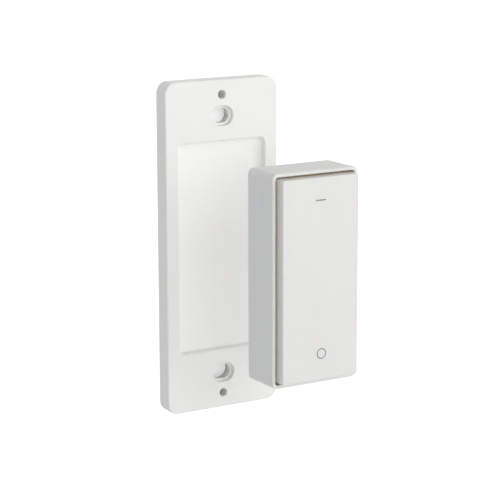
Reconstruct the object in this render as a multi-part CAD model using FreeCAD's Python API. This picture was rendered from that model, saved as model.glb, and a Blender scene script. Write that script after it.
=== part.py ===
import FreeCAD, Part
import math
import os

# Wireless remote wall switch: a moulded wall plate with a shallow dock, and a slim remote with one
# large rocker that magnets hold in the dock. The remote is modelled pulled straight off the plate.
# Millimetres. +Z is up, the front faces -Y, and the plate's back lies in the plane y = 0.

# Wall plate
plate_width = 40.5
plate_thickness = 5.8
plate_corner = 3.7
plate_edge_radius = 0.5
plate_side_wall = 1.8
plate_face_wall = 2.0

# Dock recess in the plate's face: a steep drafted wall, then a floor that dishes in to its flat middle
dock_side_gap = 1.0
dock_end_gap = 1.8
recess_corner = 1.8
recess_mouth_edge = 0.25
recess_draft_run = 0.3
recess_step_depth = 2.0
recess_dish_run = 3.6
recess_floor_corner = 0.7
recess_depth = 2.5
recess_floor_wall = 1.2
recess_side_wall = 1.5

# Screw slots, small holes and the bosses round them
slot_spacing = 83.34
slot_length = 6.4
slot_height = 4.7
counterbore_length = 8.1
counterbore_height = 6.2
counterbore_depth = 1.5
counterbore_mouth_edge = 0.2
slot_web = 1.8
slot_boss_wall = 1.2
hole_spacing = 96.84
hole_end_margin = 4.78
hole_radius = 1.35
hole_boss_wall = 1.5
hole_mouth_edge = 0.2

# Ribs on the plate's back
rib_thickness = 1.2
rib_back_gap = 0.6
groove_rib_pitch = 14.0
end_rib_offset = 11.0

# Steel keepers behind the recess floor, held by formed-over stakes
keeper_width = 25.0
keeper_height = 13.0
keeper_thickness = 1.0
keeper_corner = 1.0
stake_offset = 9.8
stake_radius = 1.0
stake_head_radius = 1.7
stake_head_height = 0.4
stake_head_gap = 0.05
keeper_clearance = 0.1

# Remote housing
rim_distance = 59.7
housing_width = 29.6
housing_height = 64.2
housing_corner = 1.8
housing_wall = 1.1
rim_edge_radius = 0.3
rim_mouth_edge = 0.2
back_edge = 0.35
deck_thickness = 1.2

# Rocker
rocker_gap = 0.55
rocker_proud = 3.0
rocker_face_wall = 1.5
rocker_skirt_wall = 1.15
rocker_skirt_depth = 3.6
rocker_corner = 0.7
rocker_inner_corner = 0.4
rocker_edge_radius = 0.4
rocker_rib_thickness = 0.9
rocker_rib_height = 1.2
rocker_rib_offset = 5.6
rocker_cross_rib_offset = 11.0
tilt_degrees = 2.5
stop_clearance = 0.15

# Rocker pivot: two pins on the rocker's arms in two ears on the deck
pin_radius = 1.2
pin_clearance = 0.05
pin_reach = 1.5
pin_lead = 0.3
arm_thickness = 1.5
arm_end_radius = 1.8
arm_deck_gap = 0.28
ear_thickness = 1.4
ear_end_radius = 2.2
ear_side_gap = 0.6
arm_ear_gap = 0.3

# Press tubes, keypad mat and its two domes
dome_offset = 20.0
press_radius = 2.0
press_wall = 0.9
press_gap = 0.1
fin_thickness = 0.8
fin_reach = 2.4
dome_rise = 1.7
dome_key_radius = 2.4
dome_key_height = 0.9
dome_base_radius = 4.2
dome_web = 0.45
dome_web_drop = 0.54
dome_opening_gap = 0.5
pill_radius = 1.5
pill_thickness = 0.4
pill_travel = 0.9
mat_thickness = 1.0
mat_side_gap = 1.5
mat_end_gap = 0.6
mat_corner = 2.0

# Circuit board and its two screws
board_thickness = 1.0
board_side_gap = 0.4
board_corner = 1.0
board_post_gap = 0.3
board_screw_offset = 13.2
board_post_radius = 1.7
mat_post_gap = 0.2
screw_radius = 0.8
screw_hole_gap = 0.1
pilot_gap = 0.02
pilot_end_gap = 0.2
screw_head_radius = 1.5
screw_head_height = 0.8
screw_head_edge = 0.3
screw_cross_length = 1.7
screw_cross_width = 0.35
screw_cross_depth = 0.35
board_screw_length = 2.7
cover_screw_length = 4.8

# Coin cell, its folded clip and the spring pad under it
cell_radius = 10.0
cell_thickness = 3.2
cell_cap_radius = 8.5
cell_crimp_height = 0.35
cell_edge = 0.3
cell_lift = 0.5
clip_sheet = 0.25
clip_side_gap = 0.6
clip_height = 8.0
clip_foot = 1.5
clip_bend = 0.35
clip_window_width = 7.0
clip_window_height = 3.0
pad_width = 4.0
pad_length = 6.0
pad_base = 0.2
pad_strip_width = 2.4
pad_strip = 0.12

# Back cover with its foot, magnet cups and cell nest
cover_gap = 0.1
cover_thickness = 1.6
clip_cover_gap = 0.17
cover_post_radius = 2.3
counterbore_gap = 0.15
counterbore_wall = 0.25
cover_head_sink = 0.05
foot_side_inset = 3.8
foot_end_margin = 0.5
foot_height_above_cover = 0.55
foot_corner = 2.5
foot_edge = 0.2
magnet_radius = 5.0
magnet_thickness = 2.2
magnet_edge = 0.2
magnet_cup_wall = 1.1
magnet_cup_floor = 0.85
magnet_gap = 0.05
magnet_lip = 0.3
nest_gap = 0.3
nest_wall = 1.0
nest_half_width = 5.5
nest_reach = 2.9

# Small parts on the board: width along X, height along Z, thickness, and centre x and z
chip_size = (4.0, 4.0, 0.85)
chip_place = (7.2, -17.0)
chip_lead_edge = 0.15
crystal_size = (3.2, 2.5, 0.7)
crystal_place = (7.2, -12.3)
crystal_corner = 0.4
antenna_size = (7.0, 2.0, 0.9)
antenna_end_inset = 2.0
antenna_cap = 0.8
antenna_cap_step = 0.1
capacitor_size = (3.5, 2.8, 1.9)
capacitor_place = (-8.2, -14.2)
capacitor_tab = 0.5
capacitor_tab_width = 2.2
passive_size = (1.0, 0.5, 0.35)
passive_row_pitch = 1.1
passive_chip_gap = 1.0
passive_antenna_gap = 3.0
chip_row_count = 5
crystal_row_count = 4
antenna_row_count = 3

# Planes and places that follow from the sizes above
plate_height = hole_spacing + 2 * hole_end_margin
plate_face = -plate_thickness
recess_width = housing_width + 2 * dock_side_gap
recess_height = housing_height + 2 * dock_end_gap
recess_step = plate_face + recess_step_depth
recess_floor = plate_face + recess_depth
floor_back = recess_floor + recess_floor_wall
under_face = plate_face + plate_face_wall
rib_back = -rib_back_gap
keeper_back = floor_back + keeper_thickness
rim_plane = -rim_distance
rocker_width = housing_width - 2 * (housing_wall + rocker_gap)
rocker_height = housing_height - 2 * (housing_wall + rocker_gap)
cavity_width = housing_width - 2 * housing_wall
cavity_height = housing_height - 2 * housing_wall
cavity_corner = housing_corner - housing_wall
tilt = math.radians(tilt_degrees)
skirt_swing = rocker_height / 2 * math.sin(tilt)
deck_front = rocker_skirt_depth + skirt_swing + stop_clearance
deck_back = deck_front + deck_thickness
pivot_depth = deck_front - arm_deck_gap - arm_end_radius
mat_back = deck_back + mat_thickness
board_back = mat_back + board_thickness
cell_front = board_back + cell_lift
cell_back = cell_front + cell_thickness
clip_back = cell_back + clip_sheet
cover_front = clip_back + clip_cover_gap
housing_depth = cover_front + cover_thickness
foot_back = housing_depth + foot_height_above_cover
dome_top = deck_back - dome_rise
magnet_seat = foot_back - magnet_cup_floor
screw_seat = housing_depth - cover_head_sink - screw_head_height
ear_outer = rocker_width / 2 - rocker_skirt_wall - ear_side_gap
ear_inner = ear_outer - ear_thickness
arm_outer = ear_inner - arm_ear_gap
arm_inner = arm_outer - arm_thickness
cover_post_inset = cover_gap + counterbore_wall + counterbore_gap + screw_head_radius
post_x = cavity_width / 2 - cover_post_inset
post_z = cavity_height / 2 - cover_post_inset
mat_width = 2 * (post_x - cover_post_radius - mat_side_gap)
mat_height = cavity_height - 2 * mat_end_gap
board_width = cavity_width - 2 * board_side_gap
board_height = cavity_height - 2 * board_side_gap
nest_outer = cell_radius + nest_gap + nest_wall
magnet_offset = (nest_outer + post_z) / 2
foot_width = housing_width - 2 * foot_side_inset
foot_height = 2 * (magnet_offset + magnet_radius + foot_end_margin)
antenna_place = (0.0, board_height / 2 - antenna_end_inset)
overlap = 0.2
beyond = 1.0


def vector(x, y, z):
    return FreeCAD.Vector(x, y, z)


def behind(depth):
    """Y of a plane that lies this deep behind the remote's front rim."""
    return rim_plane + depth


def line(start, end):
    return Part.makeLine(start, end)


def rounded_outline(width, height, radius, y, x=0.0, z=0.0):
    """Rounded rectangle in a plane of constant y; with radius = height / 2 it is an obround."""
    edges = []
    corners = []
    for quarter, (side, level) in enumerate(((1, 1), (-1, 1), (-1, -1), (1, -1))):
        centre_x = x + side * (width / 2 - radius)
        centre_z = z + level * (height / 2 - radius)
        angles = [math.radians(90 * quarter + turn) for turn in (0, 45, 90)]
        corners.append([
            vector(centre_x + radius * math.cos(a), y, centre_z + radius * math.sin(a)) for a in angles
        ])
    for index, (start, middle, end) in enumerate(corners):
        edges.append(Part.Arc(start, middle, end).toShape())
        following = corners[(index + 1) % 4][0]
        if end.distanceToPoint(following) > 1e-6:
            edges.append(line(end, following))
    return Part.Wire(edges)


def prism(width, height, radius, front, back, x=0.0, z=0.0):
    outline = rounded_outline(width, height, radius, front, x, z)
    return Part.Face(outline).extrude(vector(0, back - front, 0))


def obround(length, height, front, back, x=0.0, z=0.0):
    return prism(length, height, height / 2, front, back, x, z)


def block(x_low, x_high, front, back, z_low, z_high):
    return Part.makeBox(x_high - x_low, back - front, z_high - z_low, vector(x_low, front, z_low))


def rod(radius, front, back, x=0.0, z=0.0):
    return Part.makeCylinder(radius, back - front, vector(x, front, z), vector(0, 1, 0))


def cross_rod(radius, x_low, x_high, y, z=0.0):
    return Part.makeCylinder(radius, x_high - x_low, vector(x_low, y, z), vector(1, 0, 0))


def turned(profile, x=0.0, z=0.0):
    """Solid of revolution about a Y-parallel axis, from (radius, y) points."""
    points = [vector(radius, y, 0) for radius, y in profile]
    points.append(points[0])
    face = Part.Face(Part.makePolygon(points))
    solid = face.revolve(vector(0, 0, 0), vector(0, 1, 0), 360)
    solid.translate(vector(x, 0, z))
    return solid


def edges_in_plane(solid, y):
    found = []
    for edge in solid.Edges:
        if abs(edge.BoundBox.YMin - y) < 1e-6 and abs(edge.BoundBox.YMax - y) < 1e-6:
            found.append(edge)
    return found


def round_front(solid, radius, y):
    return solid.makeFillet(radius, edges_in_plane(solid, y))


def mouth(width, height, radius, edge, y, x=0.0, z=0.0):
    """Cutter that takes a 45-degree edge off an opening of this size whose mouth lies in plane y."""
    reach = edge + beyond
    wide = rounded_outline(width + 2 * reach, height + 2 * reach, radius + reach, y - beyond, x, z)
    narrow = rounded_outline(width, height, radius, y + edge, x, z)
    return Part.makeLoft([wide, narrow], True, True)


def fuse_all(first, others):
    return first.multiFuse(others).removeSplitter()


def cut_all(first, others):
    result = first
    for other in others:
        result = result.cut(other)
    return result.removeSplitter()


# The wall plate and its keepers


def recess_space():
    """Drafted wall from the rim to the step, then the dished edge that runs in to the flat floor."""
    growth = recess_draft_run / recess_step_depth
    outer = rounded_outline(
        recess_width + 2 * growth * beyond,
        recess_height + 2 * growth * beyond,
        recess_corner + growth * beyond,
        plate_face - beyond,
    )
    step_width = recess_width - 2 * recess_draft_run
    step_height = recess_height - 2 * recess_draft_run
    step_corner = recess_corner - recess_draft_run
    dish = []
    for share in (0, 0.25, 0.5, 0.75, 1):
        inset = share * recess_dish_run
        drop = (1 - (1 - share) ** 2) * (recess_floor - recess_step)
        corner = step_corner + share * (recess_floor_corner - step_corner)
        dish.append(rounded_outline(
            step_width - 2 * inset, step_height - 2 * inset, corner, recess_step + drop
        ))
    wall = Part.makeLoft([outer, dish[0]], True, True)
    floor = Part.makeLoft(dish, True, False)
    edge = mouth(recess_width, recess_height, recess_corner, recess_mouth_edge, plate_face)
    return wall.fuse(floor).fuse(edge)


def back_hollow():
    """Space behind the plate's face, less the tray that carries the recess."""
    hollow = prism(
        plate_width - 2 * plate_side_wall,
        plate_height - 2 * plate_side_wall,
        plate_corner - plate_side_wall,
        under_face,
        beyond,
    )
    tray = prism(
        tray_width(),
        tray_height(),
        recess_corner + recess_side_wall,
        under_face - overlap,
        floor_back,
    )
    return hollow.cut(tray)


def tray_width():
    return recess_width - 2 * recess_draft_run + 2 * recess_side_wall


def tray_height():
    return recess_height - 2 * recess_draft_run + 2 * recess_side_wall


def plate_end(level):
    """Bosses and ribs at one end of the plate, and the slot and hole cut through them."""
    slot_z = level * slot_spacing / 2
    hole_z = level * hole_spacing / 2
    root = under_face - overlap
    half = rib_thickness / 2
    boss_length = counterbore_length + 2 * slot_boss_wall
    boss_height = counterbore_height + 2 * slot_boss_wall
    inner_x = plate_width / 2 - plate_side_wall + overlap
    inner_z = plate_height / 2 - plate_side_wall + overlap
    tray_end = tray_height() / 2 - overlap
    low, high = sorted((level * tray_end, level * inner_z))
    solids = [
        obround(boss_length, boss_height, root, 0, 0, slot_z),
        rod(hole_radius + hole_boss_wall, root, 0, 0, hole_z),
        block(-inner_x, inner_x, root, rib_back, slot_z - half, slot_z + half),
    ]
    for side in (-1, 1):
        rib_x = side * end_rib_offset
        solids.append(block(rib_x - half, rib_x + half, root, rib_back, low, high))
    before_face = plate_face - beyond
    web_front = plate_face + counterbore_depth
    web_back = web_front + slot_web
    cuts = [
        mouth(
            counterbore_length,
            counterbore_height,
            counterbore_height / 2,
            counterbore_mouth_edge,
            plate_face,
            0,
            slot_z,
        ),
        mouth(2 * hole_radius, 2 * hole_radius, hole_radius, hole_mouth_edge, plate_face, 0, hole_z),
        obround(counterbore_length, counterbore_height, before_face, web_front, 0, slot_z),
        obround(slot_length, slot_height, before_face, beyond, 0, slot_z),
        obround(counterbore_length, counterbore_height, web_back, beyond, 0, slot_z),
        rod(hole_radius, before_face, beyond, 0, hole_z),
    ]
    return solids, cuts


def keeper_places():
    return [level * magnet_offset for level in (1, -1)]


def keeper_frame(z):
    """Low wall round one keeper, with a rib on to the tray's end and stakes through the keeper."""
    inner_width = keeper_width + 2 * keeper_clearance
    inner_height = keeper_height + 2 * keeper_clearance
    root = floor_back - overlap
    outer = prism(
        inner_width + 2 * rib_thickness,
        inner_height + 2 * rib_thickness,
        keeper_corner + keeper_clearance + rib_thickness,
        root,
        rib_back,
        0,
        z,
    )
    inner = prism(
        inner_width, inner_height, keeper_corner + keeper_clearance, root - beyond, beyond, 0, z
    )
    solids = [outer.cut(inner)]
    head_front = keeper_back + stake_head_gap
    for side in (-1, 1):
        solids.append(turned(
            (
                (0, root),
                (stake_radius, root),
                (stake_radius, head_front),
                (stake_head_radius, head_front),
                (stake_radius, head_front + stake_head_height),
                (0, head_front + stake_head_height),
            ),
            side * stake_offset,
            z,
        ))
    return solids


def tray_ribs():
    """Two long ribs between the keeper frames, and short ribs that tie the tray to the side walls."""
    solids = []
    half = rib_thickness / 2
    root = floor_back - overlap
    reach = magnet_offset - keeper_height / 2 - keeper_clearance - half
    groove_inner = tray_width() / 2 - overlap
    groove_outer = plate_width / 2 - plate_side_wall + overlap
    for side in (-1, 1):
        rib_x = side * end_rib_offset
        solids.append(block(rib_x - half, rib_x + half, root, rib_back, -reach, reach))
        low, high = sorted((side * groove_inner, side * groove_outer))
        for step in (-2, -1, 0, 1, 2):
            z = step * groove_rib_pitch
            solids.append(block(low, high, under_face - overlap, rib_back, z - half, z + half))
    solids.append(block(-end_rib_offset, end_rib_offset, root, rib_back, -half, half))
    return solids


def wall_plate():
    body = prism(plate_width, plate_height, plate_corner, plate_face, 0)
    body = round_front(body, plate_edge_radius, plate_face)
    body = body.cut(back_hollow())
    solids = tray_ribs()
    cuts = [recess_space()]
    for level in (1, -1):
        end_solids, end_cuts = plate_end(level)
        solids.extend(end_solids)
        cuts.extend(end_cuts)
    for z in keeper_places():
        solids.extend(keeper_frame(z))
    return cut_all(fuse_all(body, solids), cuts)


def keeper(z):
    strip = prism(keeper_width, keeper_height, keeper_corner, floor_back, keeper_back, 0, z)
    hole = stake_radius + keeper_clearance
    holes = []
    for side in (-1, 1):
        holes.append(rod(hole, floor_back - beyond, keeper_back + beyond, side * stake_offset, z))
    return cut_all(strip, holes)


# The remote's casings


def round_ended(x_low, x_high, root, tip, radius):
    """Flat tongue across the pivot axis, from its root plane to a round end about the axis."""
    front = min(root, tip)
    back = max(root, tip)
    tongue = block(x_low, x_high, front, back, -radius, radius)
    return tongue.fuse(cross_rod(radius, x_low, x_high, tip))


def post_places():
    return [(side * post_x, level * post_z) for side in (-1, 1) for level in (-1, 1)]


def board_screw_places():
    return [(0.0, level * board_screw_offset) for level in (-1, 1)]


def dome_places():
    return [level * dome_offset for level in (1, -1)]


def remote_housing():
    body = prism(housing_width, housing_height, housing_corner, behind(0), behind(housing_depth))
    body = round_front(body, rim_edge_radius, behind(0))
    body = body.makeChamfer(back_edge, edges_in_plane(body, behind(housing_depth)))
    front_space = prism(
        cavity_width, cavity_height, cavity_corner, behind(-beyond), behind(deck_front)
    )
    back_space = prism(
        cavity_width, cavity_height, cavity_corner, behind(deck_back), behind(housing_depth + beyond)
    )
    rim = mouth(cavity_width, cavity_height, cavity_corner, rim_mouth_edge, behind(0))
    body = body.cut(front_space).cut(back_space).cut(rim)
    solids = []
    cuts = []
    for x, z in post_places():
        solids.append(rod(cover_post_radius, behind(deck_back - overlap), behind(cover_front), x, z))
        tip = screw_seat - cover_screw_length - pilot_end_gap
        cuts.append(rod(screw_radius + pilot_gap, behind(tip), behind(cover_front + overlap), x, z))
    for x, z in board_screw_places():
        solids.append(rod(board_post_radius, behind(deck_back - overlap), behind(mat_back), x, z))
        tip = board_back - board_screw_length - pilot_end_gap
        cuts.append(rod(screw_radius + pilot_gap, behind(tip), behind(mat_back + overlap), x, z))
    for z in dome_places():
        opening = dome_base_radius + dome_opening_gap
        cuts.append(rod(opening, behind(deck_front - beyond), behind(deck_back + beyond), 0, z))
    for side in (-1, 1):
        low, high = sorted((side * ear_inner, side * ear_outer))
        solids.append(round_ended(
            low, high, behind(deck_front + overlap), behind(pivot_depth), ear_end_radius
        ))
        cuts.append(cross_rod(
            pin_radius + pin_clearance, low - overlap, high + overlap, behind(pivot_depth)
        ))
    return cut_all(fuse_all(body, solids), cuts)


def rocker():
    face = behind(-rocker_proud)
    under = behind(-rocker_proud + rocker_face_wall)
    end = behind(rocker_skirt_depth)
    body = prism(rocker_width, rocker_height, rocker_corner, face, end)
    body = round_front(body, rocker_edge_radius, face)
    inner_width = rocker_width - 2 * rocker_skirt_wall
    inner_height = rocker_height - 2 * rocker_skirt_wall
    body = body.cut(prism(inner_width, inner_height, rocker_inner_corner, under, end + beyond))
    solids = []
    root = under - overlap
    rib_end = under + rocker_rib_height
    reach_x = inner_width / 2 + overlap
    reach_z = inner_height / 2 + overlap
    half = rocker_rib_thickness / 2
    for side in (-1, 1):
        rib_x = side * rocker_rib_offset
        solids.append(block(rib_x - half, rib_x + half, root, rib_end, -reach_z, reach_z))
        rib_z = side * rocker_cross_rib_offset
        solids.append(block(-reach_x, reach_x, root, rib_end, rib_z - half, rib_z + half))
    press_end = behind(dome_top - press_gap)
    cuts = []
    for z in dome_places():
        solids.append(rod(press_radius, root, press_end, 0, z))
        fin = press_radius + fin_reach
        fin_end = behind(rocker_skirt_depth - rocker_rib_height)
        solids.append(block(-fin, fin, root, fin_end, z - fin_thickness / 2, z + fin_thickness / 2))
        solids.append(block(-fin_thickness / 2, fin_thickness / 2, root, fin_end, z - fin, z + fin))
        cuts.append(rod(press_radius - press_wall, under, press_end + beyond, 0, z))
    for side in (-1, 1):
        low, high = sorted((side * arm_inner, side * arm_outer))
        solids.append(round_ended(low, high, root, behind(pivot_depth), arm_end_radius))
        solids.append(pivot_pin(side))
    return cut_all(fuse_all(body, solids), cuts)


def pivot_pin(side):
    """Pin that stands out from one arm, with a lead-in cone at its tip."""
    start = side * (arm_outer - overlap)
    length = pin_reach + overlap - pin_lead
    centre = vector(start, behind(pivot_depth), 0)
    along = vector(side, 0, 0)
    stem = Part.makeCylinder(pin_radius, length, centre, along)
    tip = Part.makeCone(pin_radius, pin_radius - pin_lead, pin_lead, centre + along * length, along)
    return stem.fuse(tip)


def back_cover():
    body = prism(
        cavity_width - 2 * cover_gap,
        cavity_height - 2 * cover_gap,
        cavity_corner - cover_gap,
        behind(cover_front),
        behind(housing_depth),
    )
    foot = prism(
        foot_width, foot_height, foot_corner, behind(housing_depth - overlap), behind(foot_back)
    )
    foot = foot.makeChamfer(foot_edge, edges_in_plane(foot, behind(foot_back)))
    solids = [foot]
    cuts = []
    cup_front = magnet_seat - magnet_thickness - magnet_lip
    for z in keeper_places():
        cup = magnet_radius + magnet_gap
        solids.append(rod(cup + magnet_cup_wall, behind(cup_front), behind(cover_front + overlap), 0, z))
        cuts.append(rod(cup, behind(cup_front - beyond), behind(magnet_seat), 0, z))
    nest_front = behind(cover_front - nest_reach)
    nest_back = behind(cover_front + overlap)
    nest = rod(nest_outer, nest_front, nest_back)
    nest = nest.cut(rod(nest_outer - nest_wall, nest_front - beyond, behind(cover_front)))
    for level in (-1, 1):
        low, high = sorted((0, level * nest_outer))
        window = block(-nest_half_width, nest_half_width, nest_front, nest_back, low, high)
        solids.append(nest.common(window))
    hole = screw_radius + screw_hole_gap
    sink = screw_head_radius + counterbore_gap
    for x, z in post_places():
        cuts.append(rod(hole, behind(cover_front - beyond), behind(foot_back), x, z))
        cuts.append(rod(sink, behind(screw_seat), behind(foot_back + beyond), x, z))
    return cut_all(fuse_all(body, solids), cuts)


# What the remote holds inside


def dome_profile():
    """Outside of one dome, as (radius, y) points from its key's top down to the sheet."""
    return (
        (0, behind(dome_top)),
        (dome_key_radius, behind(dome_top)),
        (dome_key_radius, behind(dome_top + dome_key_height)),
        (dome_base_radius, behind(deck_back)),
        (dome_base_radius, behind(deck_back + overlap)),
        (0, behind(deck_back + overlap)),
    )


def dome_space():
    """Hollow under one dome, round the contact pill that closes the pads on the board."""
    roof = dome_top + dome_key_height + dome_web_drop
    pill_end = mat_back - pill_travel
    return (
        (0, behind(mat_back + overlap)),
        (0, behind(pill_end)),
        (pill_radius, behind(pill_end)),
        (pill_radius, behind(min(roof, pill_end - pill_thickness))),
        (dome_key_radius, behind(min(roof, pill_end - pill_thickness))),
        (dome_base_radius - dome_web, behind(deck_back + dome_web_drop / 2)),
        (dome_base_radius - dome_web, behind(mat_back + overlap)),
    )


def keypad_mat():
    sheet = prism(mat_width, mat_height, mat_corner, behind(deck_back), behind(mat_back))
    domes = [turned(dome_profile(), 0, z) for z in dome_places()]
    cuts = [turned(dome_space(), 0, z) for z in dome_places()]
    for x, z in board_screw_places():
        cuts.append(rod(
            board_post_radius + mat_post_gap, behind(deck_back - beyond), behind(mat_back + beyond), x, z
        ))
    return cut_all(fuse_all(sheet, domes), cuts)


def circuit_board():
    board = prism(board_width, board_height, board_corner, behind(mat_back), behind(board_back))
    front = behind(mat_back - beyond)
    back = behind(board_back + beyond)
    cuts = [rod(cover_post_radius + board_post_gap, front, back, x, z) for x, z in post_places()]
    notch_z = post_z - cover_post_radius - board_post_gap
    for side in (-1, 1):
        x_low, x_high = sorted((side * post_x, side * cavity_width))
        for level in (-1, 1):
            z_low, z_high = sorted((level * notch_z, level * cavity_height))
            cuts.append(block(x_low, x_high, front, back, z_low, z_high))
    for x, z in board_screw_places():
        cuts.append(rod(screw_radius + screw_hole_gap, front, back, x, z))
    return cut_all(board, cuts)


def screw(x, z, seat, length):
    """Pan-head screw driven towards the front, with a cross recess in its head."""
    top = behind(seat + screw_head_height)
    body = turned(
        (
            (0, behind(seat - length)),
            (screw_radius, behind(seat - length)),
            (screw_radius, behind(seat)),
            (screw_head_radius, behind(seat)),
            (screw_head_radius, top - screw_head_edge),
            (screw_head_radius - screw_head_edge, top),
            (0, top),
        ),
        x,
        z,
    )
    half_length = screw_cross_length / 2
    half_width = screw_cross_width / 2
    bottom = top - screw_cross_depth
    cuts = [
        block(x - half_length, x + half_length, bottom, top + beyond, z - half_width, z + half_width),
        block(x - half_width, x + half_width, bottom, top + beyond, z - half_length, z + half_length),
    ]
    return cut_all(body, cuts)


def board_screws():
    return Part.makeCompound([screw(x, z, board_back, board_screw_length) for x, z in board_screw_places()])


def cover_screws():
    return Part.makeCompound([screw(x, z, screw_seat, cover_screw_length) for x, z in post_places()])


def coin_cell():
    """Cap towards the board, crimped into the wide can that the clip presses on."""
    crimp = cell_front + cell_crimp_height
    return turned((
        (0, behind(cell_front)),
        (cell_cap_radius, behind(cell_front)),
        (cell_cap_radius, behind(crimp)),
        (cell_radius - cell_edge, behind(crimp)),
        (cell_radius, behind(crimp + cell_edge)),
        (cell_radius, behind(cell_back - cell_edge)),
        (cell_radius - cell_edge, behind(cell_back)),
        (0, behind(cell_back)),
    ))


def bridge(half_width, top, bend):
    """Arch section across X from the board up to a plane, with its two upper corners bent round."""
    front = behind(board_back)
    solid = block(-half_width, half_width, front, behind(top), -clip_height / 2, clip_height / 2)
    corners = []
    for edge in edges_in_plane(solid, behind(top)):
        if edge.BoundBox.ZLength > clip_height / 2:
            corners.append(edge)
    return solid.makeFillet(bend, corners)


def battery_clip():
    """Sheet strap over the cell: a windowed top, two legs, and two feet folded in under the can."""
    inner_half = cell_radius + clip_side_gap
    outer_half = inner_half + clip_sheet
    strap = bridge(outer_half, clip_back, clip_bend + clip_sheet)
    strap = strap.cut(bridge(inner_half, cell_back, clip_bend))
    feet = []
    front = behind(board_back)
    half = clip_height / 2
    for side in (-1, 1):
        low, high = sorted((side * (inner_half - clip_foot), side * outer_half))
        feet.append(block(low, high, front, front + clip_sheet, -half, half))
    window = block(
        -clip_window_width / 2,
        clip_window_width / 2,
        behind(cell_back - overlap),
        behind(clip_back + overlap),
        -clip_window_height / 2,
        clip_window_height / 2,
    )
    return cut_all(fuse_all(strap, feet), [window])


def battery_pad():
    """Flat pad on the board with a bowed strip that springs against the cell's cap."""
    base = block(
        -pad_width / 2,
        pad_width / 2,
        behind(board_back),
        behind(board_back + pad_base),
        -pad_length / 2,
        pad_length / 2,
    )
    half = pad_length / 2 - pad_base
    foot = behind(board_back + pad_base)
    crown = behind(cell_front)
    outer = Part.Arc(vector(0, foot, -half), vector(0, crown, 0), vector(0, foot, half)).toShape()
    inner = Part.Arc(
        vector(0, foot, -half + pad_base), vector(0, crown - pad_strip, 0), vector(0, foot, half - pad_base)
    ).toShape()
    ends = [
        line(vector(0, foot, -half), vector(0, foot, -half + pad_base)),
        line(vector(0, foot, half - pad_base), vector(0, foot, half)),
    ]
    section = Part.Face(Part.Wire(Part.sortEdges([outer, inner] + ends)[0]))
    strip = section.extrude(vector(pad_strip_width, 0, 0))
    strip.translate(vector(-pad_strip_width / 2, 0, 0))
    return fuse_all(base, [strip])


def on_board(size, place, lift=0.0):
    width, height, thickness = size
    x, z = place
    front = behind(board_back + lift)
    return block(x - width / 2, x + width / 2, front, front + thickness, z - height / 2, z + height / 2)


def radio_chip():
    body = on_board(chip_size, chip_place)
    top = behind(board_back + chip_size[2])
    return body.makeChamfer(chip_lead_edge, edges_in_plane(body, top))


def crystal():
    """Ceramic base with a smaller round-cornered metal lid on it."""
    width, height, thickness = crystal_size
    x, z = crystal_place
    base = on_board((width, height, thickness / 2), crystal_place)
    lid = prism(
        width - crystal_corner,
        height - crystal_corner,
        crystal_corner,
        behind(board_back),
        behind(board_back + thickness),
        x,
        z,
    )
    return fuse_all(base, [lid])


def chip_antenna():
    """Ceramic bar with a thicker metal cap at each end."""
    width, height, thickness = antenna_size
    x, z = antenna_place
    bar_size = (width, height - 2 * antenna_cap_step, thickness - antenna_cap_step)
    bar = on_board(bar_size, antenna_place)
    caps = [
        on_board((antenna_cap, height, thickness), (x + side * (width - antenna_cap) / 2, z))
        for side in (-1, 1)
    ]
    return fuse_all(bar, caps)


def bulk_capacitor():
    """Moulded block with a bent metal tab under each end."""
    width, height, thickness = capacitor_size
    x, z = capacitor_place
    lift = clip_sheet / 2
    body = on_board((width - 2 * lift, height, thickness - lift), capacitor_place, lift)
    tabs = []
    for side in (-1, 1):
        centre = x + side * (width - capacitor_tab) / 2
        tabs.append(on_board((capacitor_tab, capacitor_tab_width, thickness / 2), (centre, z)))
    return fuse_all(body, tabs)


def chip_components():
    """Three rows of small resistors and capacitors, beside the chip, the crystal and the antenna."""
    chip_x, chip_z = chip_place
    side = chip_size[0] / 2 + passive_chip_gap
    chip_end = chip_z - chip_size[1] / 2
    antenna_end = antenna_place[1] - antenna_size[1] / 2
    rows = (
        (chip_x - side, chip_end, chip_row_count),
        (chip_x + side, chip_z + chip_size[1] / 2, crystal_row_count),
        (antenna_place[0], antenna_end - passive_antenna_gap, antenna_row_count),
    )
    solids = []
    for x, z, count in rows:
        for index in range(count):
            solids.append(on_board(passive_size, (x, z - index * passive_row_pitch)))
    return Part.makeCompound(solids)


def magnet(z):
    disc = rod(magnet_radius, behind(magnet_seat - magnet_thickness), behind(magnet_seat), 0, z)
    return disc.makeChamfer(magnet_edge, disc.Edges[:1] + disc.Edges[2:3])


def save(name, shape):
    shape.exportStep("parts/" + name + ".step")
    print(name, round(shape.Volume, 1), "mm3", len(shape.Solids), "solid(s)")


os.makedirs("parts", exist_ok=True)
upper_z, lower_z = keeper_places()
save("wall_plate", wall_plate())
save("keeper_upper", keeper(upper_z))
save("keeper_lower", keeper(lower_z))
save("remote_housing", remote_housing())
save("rocker", rocker())
save("back_cover", back_cover())
save("keypad_mat", keypad_mat())
save("circuit_board", circuit_board())
save("coin_cell", coin_cell())
save("battery_clip", battery_clip())
save("battery_pad", battery_pad())
save("radio_chip", radio_chip())
save("crystal", crystal())
save("chip_antenna", chip_antenna())
save("bulk_capacitor", bulk_capacitor())
save("chip_components", chip_components())
save("magnet_upper", magnet(upper_z))
save("magnet_lower", magnet(lower_z))
save("board_screws", board_screws())
save("cover_screws", cover_screws())
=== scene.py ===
import bpy
import bmesh
import math
from mathutils import Matrix, Vector


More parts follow.
